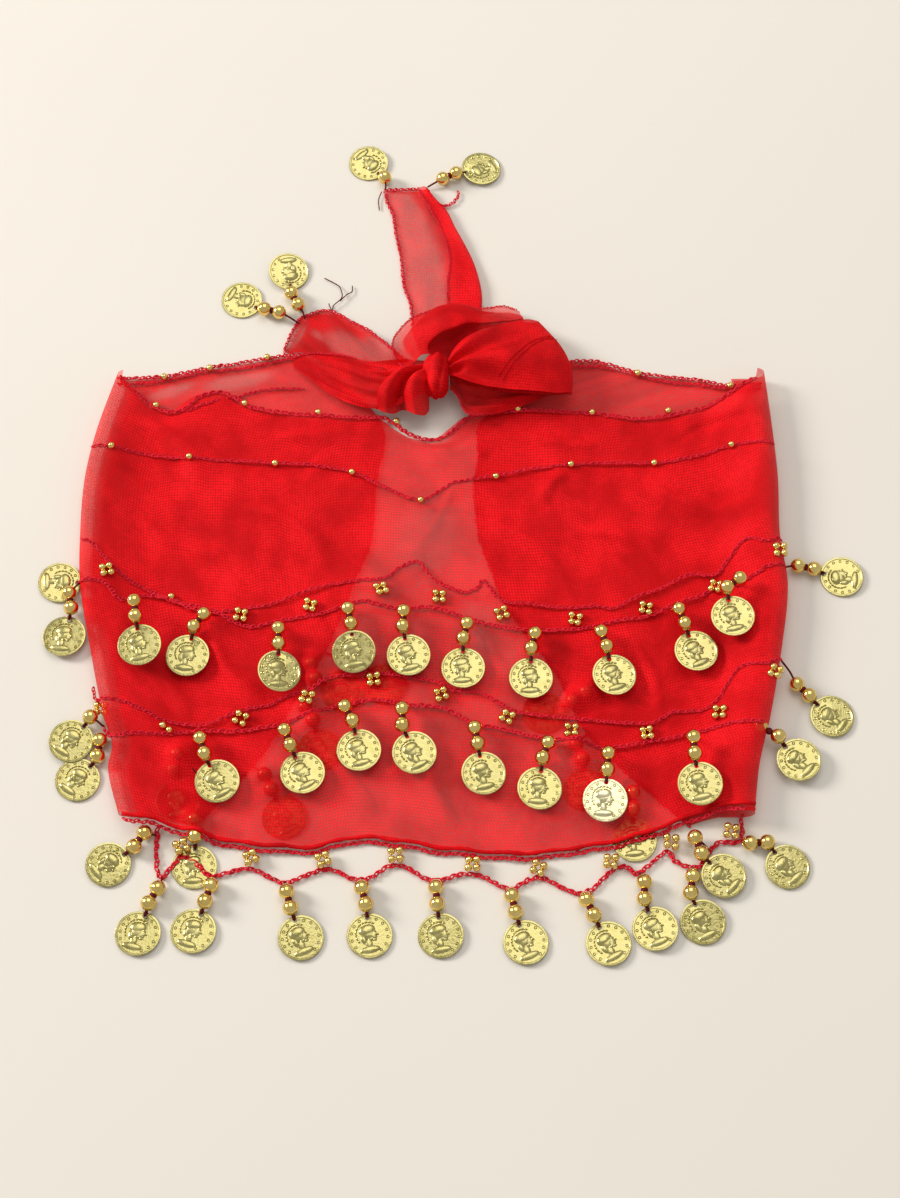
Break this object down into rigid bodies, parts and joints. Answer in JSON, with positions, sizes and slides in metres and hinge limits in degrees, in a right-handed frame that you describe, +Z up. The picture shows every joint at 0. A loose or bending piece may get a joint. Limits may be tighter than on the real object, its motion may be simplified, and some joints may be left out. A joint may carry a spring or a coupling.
{
  "type": "belly dance hip scarf",
  "caption": "Sheer red hip scarf wrapped into a flat tube and tied in a bow, with crocheted chains and gold bead and coin pendants.",
  "frame": {"origin": "centre of the bounding box, on the surface the scarf lies on", "axes": "+X across the front, to the right as seen from above with the bow at the top; +Y from the coin hem up to the bow; +Z up from the surface"},
  "size_m": [0.387, 0.43, 0.0226],
  "materials": {
    "chiffon": "sheer woven",
    "crochet_thread": "matt twisted thread",
    "gilt": "bright stamped plate"
  },
  "bodies": {
    "root": {"front_stretch": "chiffon", "back_stretch_left": "chiffon", "back_stretch_right": "chiffon", "gather_left": "chiffon", "gather_right": "chiffon", "knot": "chiffon", "bow_loop": "chiffon", "ring_loop": "chiffon", "tail_up": "chiffon", "tail_left": "chiffon", "edge_chain": "crochet_thread", "upper_chain": "crochet_thread", "coin_band_upper": "crochet_thread", "coin_band_lower": "crochet_thread", "fringe_net": "crochet_thread", "upper_pendant_01": "gilt", "upper_pendant_02": "gilt", "upper_pendant_03": "gilt", "upper_pendant_04": "gilt", "upper_pendant_05": "gilt", "upper_pendant_06": "gilt", "upper_pendant_07": "gilt", "upper_pendant_08": "gilt", "upper_pendant_09": "gilt", "upper_pendant_10": "gilt", "upper_pendant_11": "gilt", "upper_pendant_12": "gilt", "upper_pendant_13": "gilt", "lower_pendant_01": "gilt", "lower_pendant_02": "gilt", "lower_pendant_03": "gilt", "lower_pendant_04": "gilt", "lower_pendant_05": "gilt", "lower_pendant_06": "gilt", "lower_pendant_07": "gilt", "lower_pendant_08": "gilt", "lower_pendant_09": "gilt", "lower_pendant_10": "gilt", "lower_pendant_11": "gilt", "lower_pendant_12": "gilt", "fringe_pendant_01": "gilt", "fringe_pendant_02": "gilt", "fringe_pendant_03": "gilt", "fringe_pendant_04": "gilt", "fringe_pendant_05": "gilt", "fringe_pendant_06": "gilt", "fringe_pendant_07": "gilt", "fringe_pendant_08": "gilt", "fringe_pendant_09": "gilt", "fringe_pendant_10": "gilt", "fringe_pendant_11": "gilt", "fringe_pendant_12": "gilt", "tail_pendant_01": "gilt", "tail_pendant_02": "gilt", "tail_pendant_03": "gilt", "tail_pendant_04": "gilt"}
  },
  "joints": []
}
